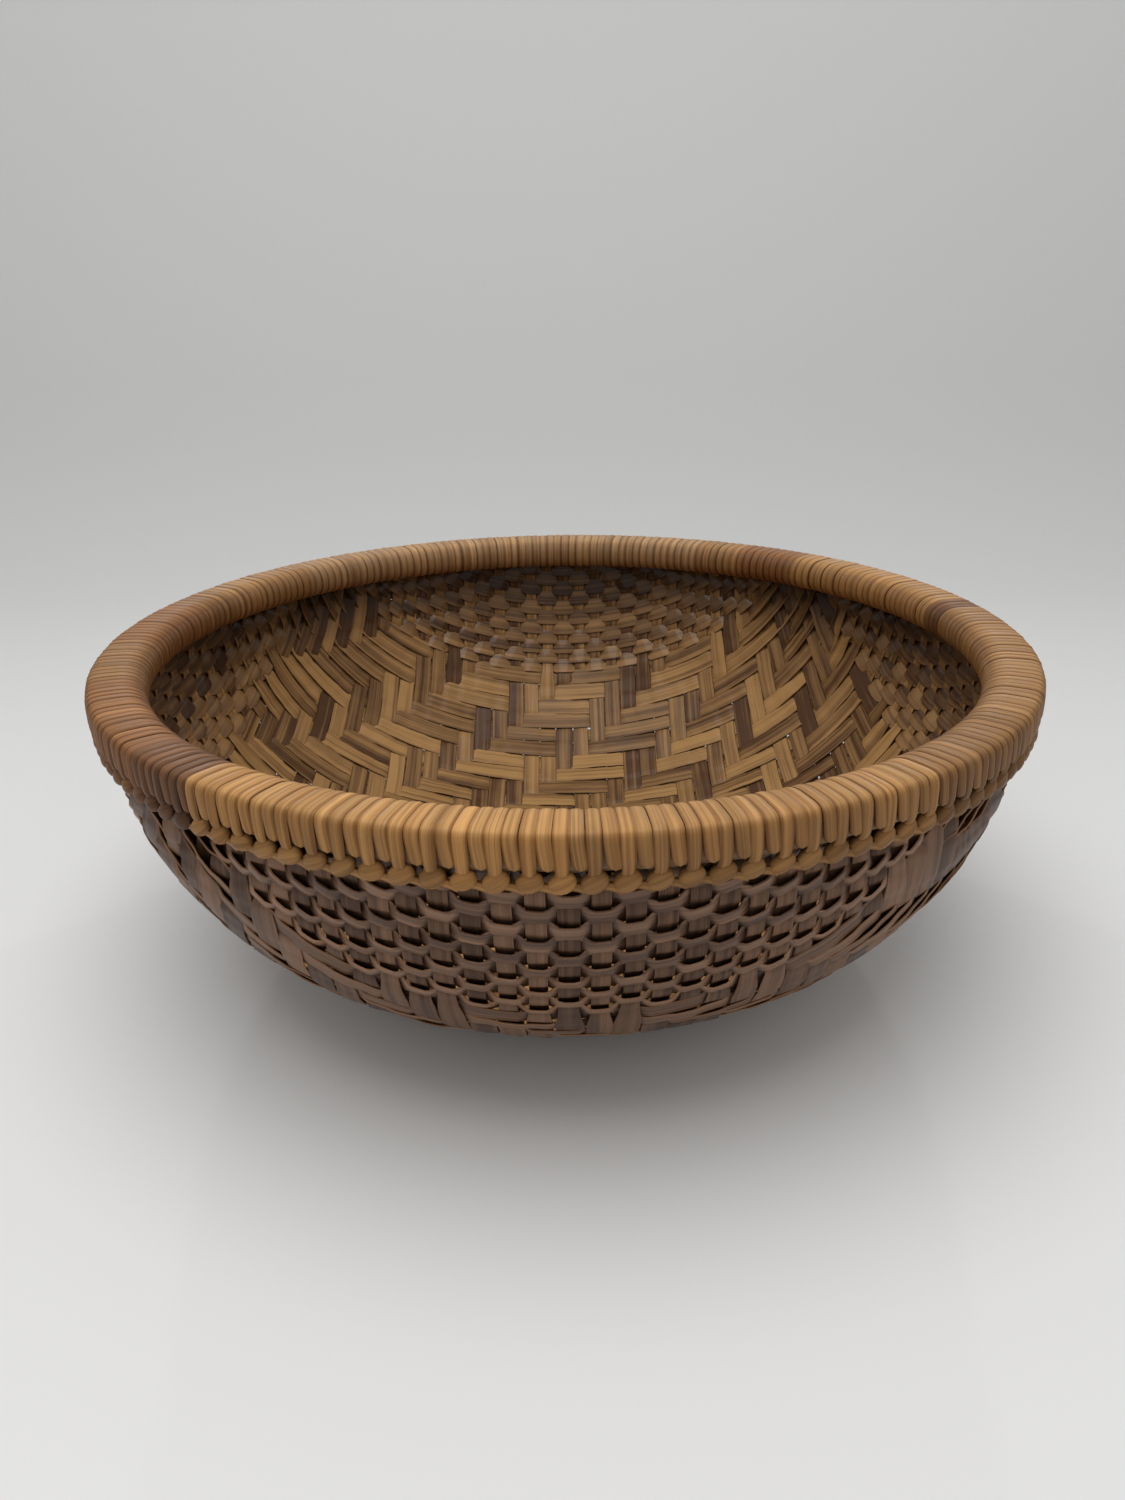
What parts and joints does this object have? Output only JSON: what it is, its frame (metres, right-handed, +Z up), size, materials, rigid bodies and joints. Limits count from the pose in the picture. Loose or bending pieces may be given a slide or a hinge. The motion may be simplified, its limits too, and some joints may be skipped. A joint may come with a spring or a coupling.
{
  "type": "winnowing basket",
  "caption": "Round plaited bamboo winnowing basket: a shallow twilled bowl with a flat base and a broad rim bound in split cane, open at the top.",
  "frame": {"origin": "centre of the flat base, on the surface the basket stands on", "axes": "+Z up, out of the bowl's mouth; +X to the right and +Y to the back, along the two sets of splints"},
  "size_m": [0.38, 0.38, 0.1363],
  "materials": {
    "mat_bamboo": "varnished, aged, mixed light and dark splints",
    "weft_bamboo": "varnished, aged, darker narrow splints",
    "hoop_bamboo": "split and scraped",
    "rim_cane": "honey cane, satin",
    "dark_cane": "dark aged cane, satin"
  },
  "bodies": {
    "root": {"front_to_back_splints": "mat_bamboo", "side_to_side_splints": "mat_bamboo", "right_wall_wefts": "weft_bamboo", "left_wall_wefts": "weft_bamboo", "back_wall_wefts": "weft_bamboo", "front_wall_wefts": "weft_bamboo", "rim_filler": "hoop_bamboo", "inner_hoop": "hoop_bamboo", "outer_hoop": "hoop_bamboo", "rim_binding_1": "rim_cane", "rim_binding_2": "rim_cane", "rim_binding_3": "rim_cane", "rim_binding_4": "rim_cane", "rim_binding_5": "rim_cane", "rim_binding_6": "dark_cane", "rim_binding_7": "rim_cane", "rim_binding_8": "rim_cane", "edge_plait_1": "rim_cane", "edge_plait_2": "rim_cane", "edge_plait_3": "rim_cane", "edge_plait_4": "rim_cane", "edge_plait_5": "rim_cane", "edge_plait_6": "dark_cane", "edge_plait_7": "rim_cane", "edge_plait_8": "rim_cane"}
  },
  "joints": []
}
